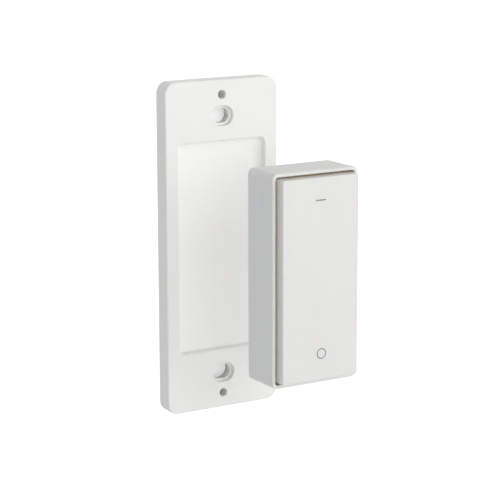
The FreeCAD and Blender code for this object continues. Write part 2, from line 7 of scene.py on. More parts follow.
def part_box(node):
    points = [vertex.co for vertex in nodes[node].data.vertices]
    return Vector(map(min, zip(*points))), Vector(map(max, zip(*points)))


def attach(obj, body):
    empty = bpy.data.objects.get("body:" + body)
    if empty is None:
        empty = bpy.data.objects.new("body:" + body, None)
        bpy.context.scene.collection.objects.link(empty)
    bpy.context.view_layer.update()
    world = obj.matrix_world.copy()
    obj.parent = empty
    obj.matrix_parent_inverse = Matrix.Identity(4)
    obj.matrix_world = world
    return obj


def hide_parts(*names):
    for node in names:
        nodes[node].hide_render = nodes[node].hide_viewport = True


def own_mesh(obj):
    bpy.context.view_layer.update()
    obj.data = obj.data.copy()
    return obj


# Wireless remote wall switch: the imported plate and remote, dressed for the studio
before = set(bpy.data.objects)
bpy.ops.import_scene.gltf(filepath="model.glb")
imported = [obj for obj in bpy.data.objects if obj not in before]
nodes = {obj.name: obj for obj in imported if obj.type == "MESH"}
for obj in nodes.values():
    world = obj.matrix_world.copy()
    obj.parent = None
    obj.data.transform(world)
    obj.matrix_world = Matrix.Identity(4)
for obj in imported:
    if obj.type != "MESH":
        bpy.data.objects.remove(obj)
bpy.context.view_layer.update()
print("frame loaded,", len(nodes), "nodes")

mm = 0.001
studio = bpy.context.scene.collection

# Where the camera stands, fitted to the plate's and the remote's edges
cameraLook = {
    "azimuth": -31.14,  # degrees; 0 looks along +Y
    "elevation": 11.98,
    "roll": -0.13,
    "aimAcross": 11.65 * mm,  # how far the aim stands right of and above the plate's centre
    "aimUp": -2.36 * mm,
    "distance": 599.95 * mm,
    "lens": 134.59,
    "sensor": 36.0,
    "clip": (0.01, 50.0),
}


def placeCamera(look):
    a, e = math.radians(look["azimuth"]), math.radians(look["elevation"])
    back = Vector((math.sin(a) * math.cos(e), -math.cos(a) * math.cos(e), math.sin(e)))
    right = (-back).cross(Vector((0, 0, 1))).normalized()
    up = right.cross(-back)
    aim = right * look["aimAcross"] + up * look["aimUp"]
    turn = math.radians(look["roll"])
    across = right * math.cos(turn) + up * math.sin(turn)
    upright = up * math.cos(turn) - right * math.sin(turn)
    data = bpy.data.cameras.new("studioCamera")
    data.lens = look["lens"]
    data.sensor_width = look["sensor"]
    data.clip_start, data.clip_end = look["clip"]
    camera = bpy.data.objects.new("studioCamera", data)
    studio.objects.link(camera)
    camera.matrix_world = Matrix(
        (
            (across.x, upright.x, back.x, aim.x + back.x * look["distance"]),
            (across.y, upright.y, back.y, aim.y + back.y * look["distance"]),
            (across.z, upright.z, back.z, aim.z + back.z * look["distance"]),
            (0, 0, 0, 1),
        )
    )
    bpy.context.scene.camera = camera


placeCamera(cameraLook)
print("camera placed")


# Small helpers for node trees
def link(tree, source, target):
    tree.links.new(source, target)


def newMaterial(name):
    material = bpy.data.materials.new(name)
    material.use_nodes = True
    tree = material.node_tree
    return material, tree, tree.nodes["Principled BSDF"]


def feed(tree, socket, value):
    if hasattr(value, "links"):
        link(tree, value, socket)
    else:
        socket.default_value = value


def maths(tree, operation, first, second=0.0, clamp=False):
    node = tree.nodes.new("ShaderNodeMath")
    node.operation = operation
    node.use_clamp = clamp
    feed(tree, node.inputs[0], first)
    feed(tree, node.inputs[1], second)
    return node.outputs[0]


def spread(tree, value, low, high, toLow, toHigh):
    node = tree.nodes.new("ShaderNodeMapRange")
    feed(tree, node.inputs["Value"], value)
    node.inputs["From Min"].default_value = low
    node.inputs["From Max"].default_value = high
    node.inputs["To Min"].default_value = toLow
    node.inputs["To Max"].default_value = toHigh
    return node.outputs["Result"]


def blendColours(tree, share, first, second):
    node = tree.nodes.new("ShaderNodeMix")
    node.data_type = "RGBA"
    feed(tree, node.inputs["Factor"], share)
    feed(tree, node.inputs[6], first)
    feed(tree, node.inputs[7], second)
    return node.outputs[2]


def noise(tree, place, scale, detail=2.0):
    node = tree.nodes.new("ShaderNodeTexNoise")
    link(tree, place, node.inputs["Vector"])
    feed(tree, node.inputs["Scale"], scale)
    node.inputs["Detail"].default_value = detail
    return node.outputs["Fac"]


def partPlace(tree):
    return tree.nodes.new("ShaderNodeTexCoord").outputs["Object"]


def axes(tree, place):
    node = tree.nodes.new("ShaderNodeSeparateXYZ")
    link(tree, place, node.inputs[0])
    return node.outputs


def product(tree, first, *others):
    for other in others:
        first = maths(tree, "MULTIPLY", first, other)
    return first


def above(tree, value, level):
    return maths(tree, "GREATER_THAN", value, level)


def below(tree, value, level):
    return maths(tree, "LESS_THAN", value, level)


def between(tree, share, atNone, atFull):
    return spread(tree, share, 0.0, 1.0, atNone, atFull)


# Distance from the line along Y that stands at one height over the part's middle
def fromAxis(tree, parts, level=0.0):
    upward = maths(tree, "SUBTRACT", parts["Z"], level)
    square = maths(tree, "ADD", product(tree, upward, upward), product(tree, parts["X"], parts["X"]))
    return maths(tree, "SQRT", square)


def emptyMaterial(name):
    material = bpy.data.materials.new(name)
    material.use_nodes = True
    tree = material.node_tree
    tree.nodes.clear()
    return material, tree, tree.nodes.new("ShaderNodeOutputMaterial").inputs["Surface"]


# White paper that is lit like the rest, with a glow that camera rays alone meet
def paperShader(tree, white, glow):
    lit = tree.nodes.new("ShaderNodeBsdfDiffuse")
    lit.inputs["Color"].default_value = white
    rays = tree.nodes.new("ShaderNodeLightPath")
    bright = tree.nodes.new("ShaderNodeEmission")
    link(tree, product(tree, rays.outputs["Is Camera Ray"], glow), bright.inputs["Strength"])
    both = tree.nodes.new("ShaderNodeAddShader")
    link(tree, lit.outputs["BSDF"], both.inputs[0])
    link(tree, bright.outputs["Emission"], both.inputs[1])
    return both.outputs["Shader"]


def newGroup(name, inputs, outputs):
    group = bpy.data.node_groups.new(name, "ShaderNodeTree")
    for label, value in inputs:
        socket = group.interface.new_socket(name=label, in_out="INPUT", socket_type="NodeSocketFloat")
        socket.default_value = value
    for label in outputs:
        group.interface.new_socket(name=label, in_out="OUTPUT", socket_type="NodeSocketFloat")
    return group, group.nodes.new("NodeGroupInput").outputs, group.nodes.new("NodeGroupOutput").inputs


def useGroup(tree, group, **values):
    node = tree.nodes.new("ShaderNodeGroup")
    node.node_tree = group
    for label, value in values.items():
        node.inputs[label].default_value = value
    return node.outputs


# Floor, world and lamps. Two lamps stand over two metres off, and the near one fades down the plate
studioLight = {
    "floorLevel": -0.20,
    "floorSize": 8.0,
    "floorWhite": (0.90, 0.90, 0.90, 1),
    "floorGlow": 0.62,  # what camera rays add, so that the lit floor reads as white paper
    "worldLevel": 0.515,
    "worldBehind": 0.73,  # how much brighter the room is straight behind the part
    "worldRight": 0.48,
    "worldPlain": (1.0, 1.0, 1.0, 1),
    "worldLeft": (0.85, 0.91, 1.0, 1),  # a little cooler to the left
    "worldHigh": (0.67, 0.655, 0.62, 1),  # warmer and dimmer overhead
}
lamps = {
    "frontLamp": {"place": (-0.8, -2.3, 0.1), "size": 1.0, "power": 9.2, "colour": (0.96, 0.98, 1)},
    "rightLamp": {"place": (1.6, -1.9, 0.1), "size": 1.0, "power": 11.8, "colour": (1, 1, 1)},
    "nearLamp": {"place": (0.05, -0.75, 0.33), "size": 0.35, "power": 1.08, "colour": (1, 0.99, 0.975)},
}
lampAim = (0, -0.03, 0)


def layFloor(light):
    half = light["floorSize"] / 2
    mesh = bpy.data.meshes.new("studioFloor")
    level = light["floorLevel"]
    corners = [(-half, -half, level), (half, -half, level), (half, half, level), (-half, half, level)]
    mesh.from_pydata(corners, [], [(0, 1, 2, 3)])
    floor = bpy.data.objects.new("studioFloor", mesh)
    studio.objects.link(floor)
    material, tree, surface = emptyMaterial("floorPaper")
    link(tree, paperShader(tree, light["floorWhite"], light["floorGlow"]), surface)
    mesh.materials.append(material)


def lightWorld(light):
    world = bpy.data.worlds.new("studioWorld")
    bpy.context.scene.world = world
    world.use_nodes = True
    tree = world.node_tree
    tree.nodes.clear()
    out = tree.nodes.new("ShaderNodeOutputWorld")
    soft = tree.nodes.new("ShaderNodeBackground")
    towards = axes(tree, tree.nodes.new("ShaderNodeTexCoord").outputs["Generated"])
    leftward = spread(tree, towards["X"], -1.0, 0.0, 1.0, 0.0)
    upward = between(tree, towards["Z"], 0.0, 1.0)
    level = light["worldLevel"]
    behind = between(tree, towards["Y"], level, level + light["worldBehind"])
    right = between(tree, towards["X"], 0.0, light["worldRight"])
    link(tree, maths(tree, "ADD", behind, right), soft.inputs["Strength"])
    tint = blendColours(tree, leftward, light["worldPlain"], light["worldLeft"])
    link(tree, blendColours(tree, upward, tint, light["worldHigh"]), soft.inputs["Color"])
    white = tree.nodes.new("ShaderNodeBackground")
    white.inputs["Color"].default_value = (1, 1, 1, 1)
    white.inputs["Strength"].default_value = 1
    rays = tree.nodes.new("ShaderNodeLightPath")
    mirrored = maths(tree, "MAXIMUM", rays.outputs["Is Glossy Ray"], rays.outputs["Is Transmission Ray"])
    seen = maths(tree, "MAXIMUM", rays.outputs["Is Camera Ray"], mirrored)
    pick = tree.nodes.new("ShaderNodeMixShader")
    link(tree, seen, pick.inputs["Fac"])
    link(tree, soft.outputs["Background"], pick.inputs[1])
    link(tree, white.outputs["Background"], pick.inputs[2])
    link(tree, pick.outputs["Shader"], out.inputs["Surface"])


def hangLamp(name, look):
    data = bpy.data.lights.new(name, "AREA")
    data.shape = "SQUARE"
    data.size = look["size"]
    data.energy = look["power"]
    data.color = look["colour"]
    lamp = bpy.data.objects.new(name, data)
    studio.objects.link(lamp)
    lamp.location = look["place"]
    aim = Vector(lampAim) - Vector(look["place"])
    lamp.rotation_mode = "QUATERNION"
    lamp.rotation_quaternion = aim.to_track_quat("-Z", "Y")


layFloor(studioLight)
lightWorld(studioLight)
for lampName, lampLook in lamps.items():
    hangLamp(lampName, lampLook)
bpy.context.scene.view_settings.view_transform = "Standard"
print("studio lit")


# Fine tool texture of a moulding, with the faint patchiness of its gloss. Sizes in millimetres
def mouldedGrainGroup():
    group, given, out = newGroup("mouldedGrain", [("Grain", 0.3), ("Patch", 9.0)], ["Height", "Patchy"])
    place = partPlace(group)
    fine = noise(group, place, maths(group, "DIVIDE", 1 / mm, given["Grain"]), 3.0)
    broad = noise(group, place, maths(group, "DIVIDE", 1 / mm, given["Patch"]), 3.0)
    link(group, fine, out["Height"])
    link(group, spread(group, broad, 0.3, 0.7, 0.0, 1.0), out["Patchy"])
    return group


# Corners that hands and cloths have rubbed smooth, broken up so that no edge is even. On the white
# mouldings this edge mask also carries a painted edge highlight.
def edgeRubGroup():
    group, given, out = newGroup("edgeRub", [("Width", 0.35), ("Gain", 5.0), ("Patch", 3.0)], ["Rubbed"])
    place = partPlace(group)
    bevel = group.nodes.new("ShaderNodeBevel")
    bevel.samples = 6
    link(group, product(group, given["Width"], mm), bevel.inputs["Radius"])
    flat = group.nodes.new("ShaderNodeNewGeometry")
    turn = group.nodes.new("ShaderNodeVectorMath")
    turn.operation = "DOT_PRODUCT"
    link(group, bevel.outputs["Normal"], turn.inputs[0])
    link(group, flat.outputs["Normal"], turn.inputs[1])
    bent = maths(group, "SUBTRACT", 1.0, turn.outputs["Value"])
    strong = maths(group, "MULTIPLY", bent, given["Gain"], clamp=True)
    patchy = noise(group, place, maths(group, "DIVIDE", 1 / mm, given["Patch"]), 4.0)
    broken = spread(group, patchy, 0.35, 0.65, 0.35, 1.0)
    link(group, product(group, strong, broken), out["Rubbed"])
    return group


# Rolling or drawing lines on sheet metal: noise pulled long along X or Z
def drawnLinesGroup():
    group, given, out = newGroup(
        "drawnLines", [("Line", 0.12), ("Stretch X", 0.03), ("Stretch Z", 1.0)], ["Height", "Streak"]
    )
    parts = axes(group, partPlace(group))
    pulled = group.nodes.new("ShaderNodeCombineXYZ")
    link(group, product(group, parts["X"], given["Stretch X"]), pulled.inputs["X"])
    link(group, parts["Y"], pulled.inputs["Y"])
    link(group, product(group, parts["Z"], given["Stretch Z"]), pulled.inputs["Z"])
    scale = maths(group, "DIVIDE", 1 / mm, given["Line"])
    lines = noise(group, pulled.outputs[0], scale, 4.0)
    broad = noise(group, pulled.outputs[0], product(group, scale, 0.12), 2.0)
    link(group, lines, out["Height"])
    link(group, spread(group, broad, 0.3, 0.7, 0.0, 1.0), out["Streak"])
    return group


# Hairline scuffs: the thin borders of cells, let through in some places only
def hairScuffGroup():
    group, given, out = newGroup("hairScuffs", [("Spacing", 4.0), ("Thinness", 0.02)], ["Scuff"])
    place = partPlace(group)
    scale = maths(group, "DIVIDE", 1 / mm, given["Spacing"])
    cells = group.nodes.new("ShaderNodeTexVoronoi")
    cells.feature = "DISTANCE_TO_EDGE"
    link(group, place, cells.inputs["Vector"])
    link(group, scale, cells.inputs["Scale"])
    near = below(group, cells.outputs["Distance"], given["Thinness"])
    patchy = noise(group, place, scale, 2.0)
    some = spread(group, patchy, 0.5, 0.62, 0.0, 1.0)
    link(group, product(group, near, some), out["Scuff"])
    return group


mouldedGrain = mouldedGrainGroup()
edgeRub = edgeRubGroup()
drawnLines = drawnLinesGroup()
hairScuffs = hairScuffGroup()
print("shared effects made")


def bump(tree, shader, height, strength, depth):
    node = tree.nodes.new("ShaderNodeBump")
    node.inputs["Strength"].default_value = strength
    node.inputs["Distance"].default_value = depth
    link(tree, height, node.inputs["Height"])
    link(tree, node.outputs["Normal"], shader.inputs["Normal"])


def dress(node, material):
    mesh = nodes[node].data
    mesh.materials.clear()
    mesh.materials.append(material)


# White mouldings. Each has its own tone and gloss, and the rocker is the smoothest
mouldingLook = {
    "creviceReach": 1.2 * mm,
    "creviceLevels": (0.15, 0.62),  # openness at which the painted warm tint is full, and at which it is gone
    "dockLightRamp": (0.2 * mm, 0.8 * mm),  # how far behind the plate's face the painted light on the dock's floor fades in
    "rubAndEdgeLightShare": 0.6,
    "refraction": 1.49,
    "scatterRadius": (1.0, 0.66, 0.42),
    "scatterScale": 0.9 * mm,
}
# The edge tone of each moulding is partly rubbed wear and partly a painted edge highlight; the rocker's
# is darker, a painted edge shade
whiteParts = {
    "wall_plate": {
        "colour": (0.89, 0.89, 0.877, 1),
        "deep": (0.878, 0.878, 0.862, 1),
        "rubAndEdgeLight": (0.91, 0.91, 0.90, 1),
        "roughness": (0.44, 0.52),
        "rubbedRoughness": 0.34,
        "grain": 0.28,
        "grainDepth": 0.006 * mm,
        "patch": 11.0,
        "scatter": 0.08,
        "paintedDockLight": (0.925, 0.925, 0.915, 1),  # painted light on the dock's floor, lifting it where the remote's shadow falls
        "dockLightReach": (15.6 * mm, 33.2 * mm),
    },
    "remote_housing": {
        "colour": (0.797, 0.802, 0.803, 1),
        "deep": (0.784, 0.787, 0.785, 1),
        "rubAndEdgeLight": (0.835, 0.835, 0.826, 1),
        "roughness": (0.40, 0.48),
        "rubbedRoughness": 0.32,
        "grain": 0.24,
        "grainDepth": 0.005 * mm,
        "patch": 8.0,
        "scatter": 0.25,
        "paintedGapWarmth": (0.98, 0.85, 0.665, 1),  # painted warm tint in the gap, standing in for light that comes through the thin rim
    },
    "rocker": {
        "colour": (0.786, 0.787, 0.777, 1),
        "deep": (0.775, 0.775, 0.762, 1),
        "rubAndEdgeLight": (0.77, 0.77, 0.76, 1),
        "roughness": (0.33, 0.42),
        "rubbedRoughness": 0.30,
        "grain": 0.22,
        "grainDepth": 0.003 * mm,
        "patch": 13.0,
        "scatter": 0.25,
        "paintedGapWarmth": (0.98, 0.85, 0.665, 1),
    },
    "back_cover": {
        "colour": (0.80, 0.80, 0.788, 1),
        "deep": (0.78, 0.78, 0.765, 1),
        "rubAndEdgeLight": (0.84, 0.84, 0.83, 1),
        "roughness": (0.42, 0.52),
        "rubbedRoughness": 0.33,
        "grain": 0.26,
        "grainDepth": 0.006 * mm,
        "patch": 7.0,
        "scatter": 0.08,
    },
}


# Mask of the dock's floor behind the plate's face, where painted light lifts the colour against the
# remote's shadow
def dockLightMask(tree, name, reach):
    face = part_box(name)[0][1]
    start, full = mouldingLook["dockLightRamp"]
    parts = axes(tree, partPlace(tree))
    across = below(tree, maths(tree, "ABSOLUTE", parts["X"]), reach[0])
    upward = below(tree, maths(tree, "ABSOLUTE", parts["Z"]), reach[1])
    sunk = spread(tree, parts["Y"], face + start, face + full, 0.0, 1.0)
    return product(tree, across, upward, sunk)


# Ambient occlusion of the gap: where it is closed in, a painted warm tint goes on
def crevice(tree):
    node = tree.nodes.new("ShaderNodeAmbientOcclusion")
    node.samples = 8
    node.inputs["Distance"].default_value = mouldingLook["creviceReach"]
    return spread(tree, node.outputs["AO"], *mouldingLook["creviceLevels"], 1.0, 0.0)


def whiteMoulding(name, look):
    material, tree, shader = newMaterial(name + "White")
    grain = useGroup(tree, mouldedGrain, Grain=look["grain"], Patch=look["patch"])
    rub = useGroup(tree, edgeRub, Width=0.3, Gain=4.0, Patch=2.5)
    tone = blendColours(tree, grain["Patchy"], look["colour"], look["deep"])
    # Painted warm tint in the closed-in gap between rocker and housing
    if "paintedGapWarmth" in look:
        tone = blendColours(tree, crevice(tree), tone, look["paintedGapWarmth"])
    # Painted light on the dock's floor
    if "paintedDockLight" in look:
        tone = blendColours(tree, dockLightMask(tree, name, look["dockLightReach"]), tone, look["paintedDockLight"])
    # Edge tone: partly rubbed wear, partly painted edge highlight (on the rocker, painted edge shade)
    rubAndEdgeLit = product(tree, rub["Rubbed"], mouldingLook["rubAndEdgeLightShare"])
    link(tree, blendColours(tree, rubAndEdgeLit, tone, look["rubAndEdgeLight"]), shader.inputs["Base Color"])
    smooth, rough = look["roughness"]
    gloss = between(tree, grain["Patchy"], smooth, rough)
    toRub = product(tree, rub["Rubbed"], look["rubbedRoughness"] - smooth)
    link(tree, maths(tree, "ADD", gloss, toRub, clamp=True), shader.inputs["Roughness"])
    shader.inputs["IOR"].default_value = mouldingLook["refraction"]
    shader.inputs["Subsurface Weight"].default_value = look["scatter"]
    shader.inputs["Subsurface Radius"].default_value = mouldingLook["scatterRadius"]
    shader.inputs["Subsurface Scale"].default_value = mouldingLook["scatterScale"]
    bump(tree, shader, grain["Height"], 0.5, look["grainDepth"])
    return material


for name, look in whiteParts.items():
    dress(name, whiteMoulding(name, look))
print("white mouldings dressed")

# Metals: the keepers, the cell's contacts and the magnets
wornMetal = (0.8, 0.8, 0.79, 1)
metalParts = {
    "keeper": {
        "nodes": ("keeper_upper", "keeper_lower"),
        "colour": (0.52, 0.53, 0.55, 1),
        "streak": (0.60, 0.60, 0.61, 1),
        "roughness": (0.34, 0.50),
        "line": 0.10,
        "stretch": (0.03, 1.0),
        "depth": 0.004 * mm,
        "scuff": 3.0,
    },
    "spring": {
        "nodes": ("battery_clip", "battery_pad"),
        "colour": (0.62, 0.61, 0.59, 1),
        "streak": (0.70, 0.69, 0.67, 1),
        "roughness": (0.22, 0.34),
        "line": 0.06,
        "stretch": (1.0, 0.04),
        "depth": 0.002 * mm,
        "scuff": 2.0,
    },
    "magnet": {
        "nodes": ("magnet_upper", "magnet_lower"),
        "colour": (0.64, 0.63, 0.61, 1),
        "streak": (0.70, 0.69, 0.67, 1),
        "roughness": (0.14, 0.24),
        "line": 0.5,
        "stretch": (1.0, 1.0),
        "depth": 0.001 * mm,
        "scuff": 2.4,
    },
}


def sheetMetal(name, look):
    material, tree, shader = newMaterial(name + "Metal")
    stretch = dict(zip(("Stretch X", "Stretch Z"), look["stretch"]))
    lines = useGroup(tree, drawnLines, Line=look["line"], **stretch)
    rub = useGroup(tree, edgeRub, Width=0.12, Gain=3.0, Patch=1.0)
    scuffs = useGroup(tree, hairScuffs, Spacing=look["scuff"], Thinness=0.015)
    tone = blendColours(tree, lines["Streak"], look["colour"], look["streak"])
    bright = maths(tree, "MAXIMUM", product(tree, rub["Rubbed"], 0.5), scuffs["Scuff"])
    tone = blendColours(tree, product(tree, bright, 0.5), tone, wornMetal)
    link(tree, tone, shader.inputs["Base Color"])
    smooth, rough = look["roughness"]
    link(tree, between(tree, lines["Streak"], rough, smooth), shader.inputs["Roughness"])
    shader.inputs["Metallic"].default_value = 1.0
    bump(tree, shader, lines["Height"], 0.6, look["depth"])
    return material


for name, look in metalParts.items():
    material = sheetMetal(name, look)
    for node in look["nodes"]:
        dress(node, material)
print("sheet metal dressed")

# The cell: bright can and cap, with the dark sealing ring between them
cellLook = {
    "can": (0.62, 0.61, 0.60, 1),
    "streak": (0.70, 0.69, 0.68, 1),
    "seal": (0.035, 0.035, 0.04, 1),
    "sealInner": 8.5 * mm,
    "sealOuter": 8.95 * mm,
    "sealDepth": 0.6 * mm,
    "scuffed": (0.82, 0.82, 0.8, 1),
    "roughness": (0.22, 0.32),
    "sealRoughness": 0.3,  # more than the metal's
}


def cellMetal(look):
    material, tree, shader = newMaterial("cellSteel")
    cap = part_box("coin_cell")[0][1]
    parts = axes(tree, partPlace(tree))
    rings = useGroup(tree, drawnLines, Line=0.25, **{"Stretch X": 1.0, "Stretch Z": 1.0})
    scuffs = useGroup(tree, hairScuffs, Spacing=3.5, Thinness=0.012)
    radius = fromAxis(tree, parts)
    outside = above(tree, radius, look["sealInner"])
    inside = below(tree, radius, look["sealOuter"])
    front = below(tree, parts["Y"], cap + look["sealDepth"])
    seal = product(tree, outside, inside, front)
    tone = blendColours(tree, rings["Streak"], look["can"], look["streak"])
    tone = blendColours(tree, product(tree, scuffs["Scuff"], 0.4), tone, look["scuffed"])
    link(tree, blendColours(tree, seal, tone, look["seal"]), shader.inputs["Base Color"])
    link(tree, maths(tree, "SUBTRACT", 1.0, seal), shader.inputs["Metallic"])
    gloss = between(tree, rings["Streak"], *look["roughness"])
    duller = product(tree, seal, look["sealRoughness"])
    link(tree, maths(tree, "ADD", gloss, duller), shader.inputs["Roughness"])
    bump(tree, shader, rings["Height"], 0.4, 0.002 * mm)
    return material


dress("coin_cell", cellMetal(cellLook))

# Laminate: green solder mask over raised copper tracks, and bare gold combs under the domes
boardLook = {
    "mask": (0.012, 0.115, 0.045, 1),
    "track": (0.025, 0.19, 0.075, 1),
    "gold": (0.83, 0.62, 0.28, 1),
    "core": (0.42, 0.38, 0.22, 1),
    "trackPitch": 0.9 * mm,
    "trackEdge": 0.06,  # this and the next two in pitches
    "trackLength": 4.5,
    "trackRow": 0.7,
    "patch": 6 * mm,
    "padPlaces": (20.0 * mm, -20.0 * mm),
    "padRadius": 2.0 * mm,
    "combPitch": 0.8 * mm,
    "faceReach": 0.02 * mm,
    "roughness": (0.28, 0.42),
}


def boardLaminate(look):
    material, tree, shader = newMaterial("boardLaminate")
    low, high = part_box("circuit_board")
    reach = look["faceReach"]
    place = partPlace(tree)
    parts = axes(tree, place)
    weave = useGroup(tree, mouldedGrain, Grain=0.35, Patch=5.0)
    cells = tree.nodes.new("ShaderNodeTexBrick")
    turned = tree.nodes.new("ShaderNodeCombineXYZ")
    link(tree, parts["X"], turned.inputs["X"])
    link(tree, parts["Z"], turned.inputs["Y"])
    link(tree, turned.outputs[0], cells.inputs["Vector"])
    cells.inputs["Scale"].default_value = 1 / look["trackPitch"]
    cells.inputs["Mortar Size"].default_value = look["trackEdge"]
    cells.inputs["Brick Width"].default_value = look["trackLength"]
    cells.inputs["Row Height"].default_value = look["trackRow"]
    patches = spread(tree, noise(tree, place, 1 / look["patch"], 1.0), 0.45, 0.55, 0.0, 1.0)
    tracks = product(tree, cells.outputs["Fac"], patches)
    wave = maths(tree, "SINE", product(tree, parts["X"], 2 * math.pi / look["combPitch"]))
    comb = above(tree, wave, -0.2)
    gold = 0.0
    for level in look["padPlaces"]:
        disc = below(tree, fromAxis(tree, parts, level), look["padRadius"])
        gold = maths(tree, "ADD", gold, product(tree, disc, comb))
    frontFace = below(tree, parts["Y"], low[1] + reach)
    gold = product(tree, gold, frontFace)
    rim = useGroup(tree, edgeRub, Width=0.1, Gain=4.0, Patch=1.0)
    backFace = above(tree, parts["Y"], high[1] - reach)
    faces = maths(tree, "MAXIMUM", frontFace, backFace)
    tone = blendColours(tree, tracks, look["mask"], look["track"])
    tone = blendColours(tree, gold, tone, look["gold"])
    tone = blendColours(tree, faces, look["core"], tone)
    tone = blendColours(tree, product(tree, rim["Rubbed"], 0.3), tone, look["core"])
    link(tree, tone, shader.inputs["Base Color"])
    link(tree, gold, shader.inputs["Metallic"])
    link(tree, between(tree, weave["Patchy"], *look["roughness"]), shader.inputs["Roughness"])
    height = maths(tree, "ADD", product(tree, tracks, 0.7), product(tree, weave["Height"], 0.3))
    bump(tree, shader, height, 0.7, 0.03 * mm)
    return material


dress("circuit_board", boardLaminate(boardLook))

# Small parts: a body in two tones, and bare tinned metal where its lengths say so
tinned = (0.66, 0.65, 0.63, 1)
wornBody = (0.5, 0.5, 0.5, 1)
smallParts = {
    "radio_chip": {
        "body": (0.018, 0.018, 0.02, 1),
        "other": (0.03, 0.03, 0.032, 1),
        "roughness": (0.45, 0.6),
        "padPitch": 0.5 * mm,
        "padHeight": 0.2 * mm,
    },
    "crystal": {
        "body": (0.30, 0.27, 0.24, 1),
        "other": (0.36, 0.33, 0.29, 1),
        "roughness": (0.4, 0.5),
        "lidFrom": 0.36 * mm,
    },
    "chip_antenna": {
        "body": (0.80, 0.80, 0.76, 1),
        "other": (0.74, 0.74, 0.70, 1),
        "roughness": (0.3, 0.4),
        "endLength": 0.8 * mm,
    },
    "bulk_capacitor": {
        "body": (0.60, 0.34, 0.07, 1),
        "other": (0.54, 0.29, 0.05, 1),
        "roughness": (0.35, 0.5),
        "endLength": 0.13 * mm,
        "endHeight": 0.96 * mm,
    },
    "chip_components": {
        "body": (0.20, 0.13, 0.08, 1),
        "other": (0.26, 0.17, 0.11, 1),
        "roughness": (0.3, 0.45),
        "columns": (4.2 * mm, 10.2 * mm, 0.0),
        "halfBody": 0.28 * mm,
    },
}


def bareMetal(tree, name, look, parts):
    low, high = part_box(name)
    centre = (low[0] + high[0]) / 2
    half = (high[0] - low[0]) / 2
    if name == "radio_chip":  # tinned pads along the foot of each side
        along = product(tree, maths(tree, "ADD", parts["X"], parts["Z"]), 2 * math.pi / look["padPitch"])
        pads = above(tree, maths(tree, "SINE", along), 0.0)
        return product(tree, pads, below(tree, parts["Y"], low[1] + look["padHeight"]))
    if name == "crystal":  # the lid, above the ceramic base
        return above(tree, parts["Y"], low[1] + look["lidFrom"])
    if name == "chip_components":  # both ends of every part in each column
        nearest = 1.0
        for column in look["columns"]:
            offset = maths(tree, "ABSOLUTE", maths(tree, "SUBTRACT", parts["X"], column))
            nearest = maths(tree, "MINIMUM", nearest, offset)
        return above(tree, nearest, look["halfBody"])
    fromCentre = maths(tree, "ABSOLUTE", maths(tree, "SUBTRACT", parts["X"], centre))
    ends = above(tree, fromCentre, half - look["endLength"])
    if "endHeight" in look:
        ends = product(tree, ends, below(tree, parts["Y"], low[1] + look["endHeight"]))
    return ends


def smallPartFinish(name, look):
    material, tree, shader = newMaterial(name + "Finish")
    grain = useGroup(tree, mouldedGrain, Grain=0.08, Patch=0.8)
    rub = useGroup(tree, edgeRub, Width=0.06, Gain=3.0, Patch=0.5)
    metal = bareMetal(tree, name, look, axes(tree, partPlace(tree)))
    tone = blendColours(tree, grain["Patchy"], look["body"], look["other"])
    tone = blendColours(tree, product(tree, rub["Rubbed"], 0.2), tone, wornBody)
    link(tree, blendColours(tree, metal, tone, tinned), shader.inputs["Base Color"])
    link(tree, metal, shader.inputs["Metallic"])
    link(tree, between(tree, grain["Patchy"], *look["roughness"]), shader.inputs["Roughness"])
    bump(tree, shader, grain["Height"], 0.4, 0.005 * mm)
    return material


for name, look in smallParts.items():
    dress(name, smallPartFinish(name, look))
print("inner parts dressed")


# Small helpers for meshes
def meshOf(form, name):
    bmesh.ops.recalc_face_normals(form, faces=form.faces)
    mesh = bpy.data.meshes.new(name)
    form.to_mesh(mesh)
    form.free()
    return mesh


def addPiece(name, mesh, body, material, smoothAngle=None):
    if smoothAngle is not None:
        mesh.shade_smooth()
        mesh.set_sharp_from_angle(angle=math.radians(smoothAngle))
    piece = bpy.data.objects.new(name, mesh)
    studio.objects.link(piece)
    mesh.materials.append(material)
    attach(piece, body)
    return piece


def ringOf(form, count, radiusAt, y, x, z):
    ring = []
    for index in range(count):
        angle = 2 * math.pi * index / count
        radius = radiusAt(angle)
        ring.append(form.verts.new((x + radius * math.cos(angle), y, z + radius * math.sin(angle))))
    return ring


def evenRing(form, count, radius, y, x, z):
    return ringOf(form, count, lambda angle: radius, y, x, z)


def closeRing(form, ring, middle):
    centre = form.verts.new(middle)
    for index in range(len(ring)):
        form.faces.new((ring[index], ring[(index + 1) % len(ring)], centre))


def joinRings(form, first, second):
    count = len(first)
    for index in range(count):
        after = (index + 1) % count
        form.faces.new((first[index], first[after], second[after], second[index]))


def roundedOutline(halfX, halfZ, corner, y, z=0.0):
    steps = 8
    outline = []
    for sideX, sideZ, start in ((1, 1, 0), (-1, 1, 90), (-1, -1, 180), (1, -1, 270)):
        for turn in range(steps + 1):
            angle = math.radians(start + 90 * turn / steps)
            across = sideX * (halfX - corner) + corner * math.cos(angle)
            upward = sideZ * (halfZ - corner) + corner * math.sin(angle)
            outline.append((across, y, z + upward))
    return outline


